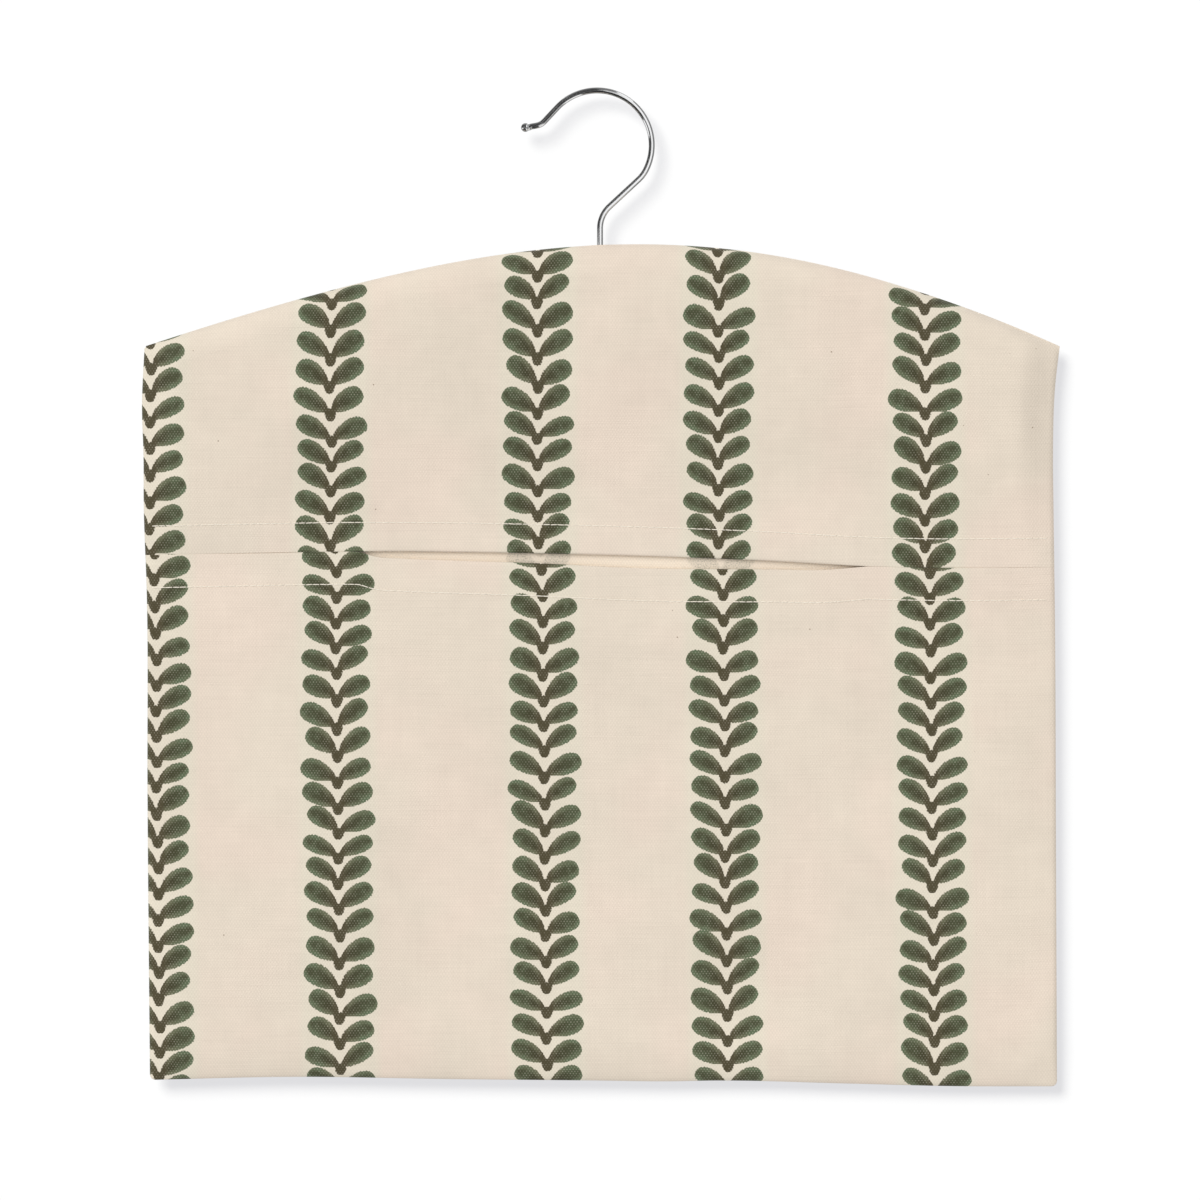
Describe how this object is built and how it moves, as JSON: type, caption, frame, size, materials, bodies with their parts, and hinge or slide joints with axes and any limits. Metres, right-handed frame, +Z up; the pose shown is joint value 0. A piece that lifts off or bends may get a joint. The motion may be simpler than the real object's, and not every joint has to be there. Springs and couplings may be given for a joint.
{
  "type": "peg bag",
  "caption": "Flat cotton peg bag with a leaf-stripe print, sewn round a wooden hanger with a swivelling chrome wire hook and open across the front by a hemmed slit.",
  "frame": {"origin": "inside of the hook's crown, where the line bears", "axes": "+Z up as the bag hangs, -Y towards the front with the mouth, +X to the right seen from the front"},
  "size_m": [0.365, 0.0148, 0.3985],
  "materials": {
    "hook_chrome": "bright plated wire",
    "fastener_steel": "zinc plated",
    "hanger_wood": "plain sanded beech",
    "printed_cotton": "plain-woven unbleached cotton canvas with a printed leaf stripe",
    "cotton_reverse": "unprinted reverse side of the canvas",
    "thread": "cream sewing thread"
  },
  "bodies": {
    "hook": {"hook": "hook_chrome", "hook_nut": "fastener_steel"},
    "bag": {"hook_washer": "fastener_steel", "hanger_bar": "hanger_wood", "back_panel": "printed_cotton", "front_upper_panel": "printed_cotton", "left_side_seam": "cotton_reverse", "right_side_seam": "cotton_reverse", "bottom_seam": "cotton_reverse", "top_seam_left": "cotton_reverse", "top_seam_right": "cotton_reverse", "upper_hem_stitching": "thread"},
    "pocket_front": {"front_lower_panel": "printed_cotton", "lower_hem_stitching": "thread"}
  },
  "joints": [
    {"name": "hook_swivel", "type": "hinge", "parent": "hook", "child": "bag", "pos_m": [0, 0, -0.08], "axis": [0, 0, 1], "continuous": true},
    {"name": "mouth_opening", "type": "hinge", "parent": "bag", "child": "pocket_front", "pos_m": [0, -0.001, -0.39604], "axis": [1, 0, 0], "range_deg": [0, 12]}
  ]
}
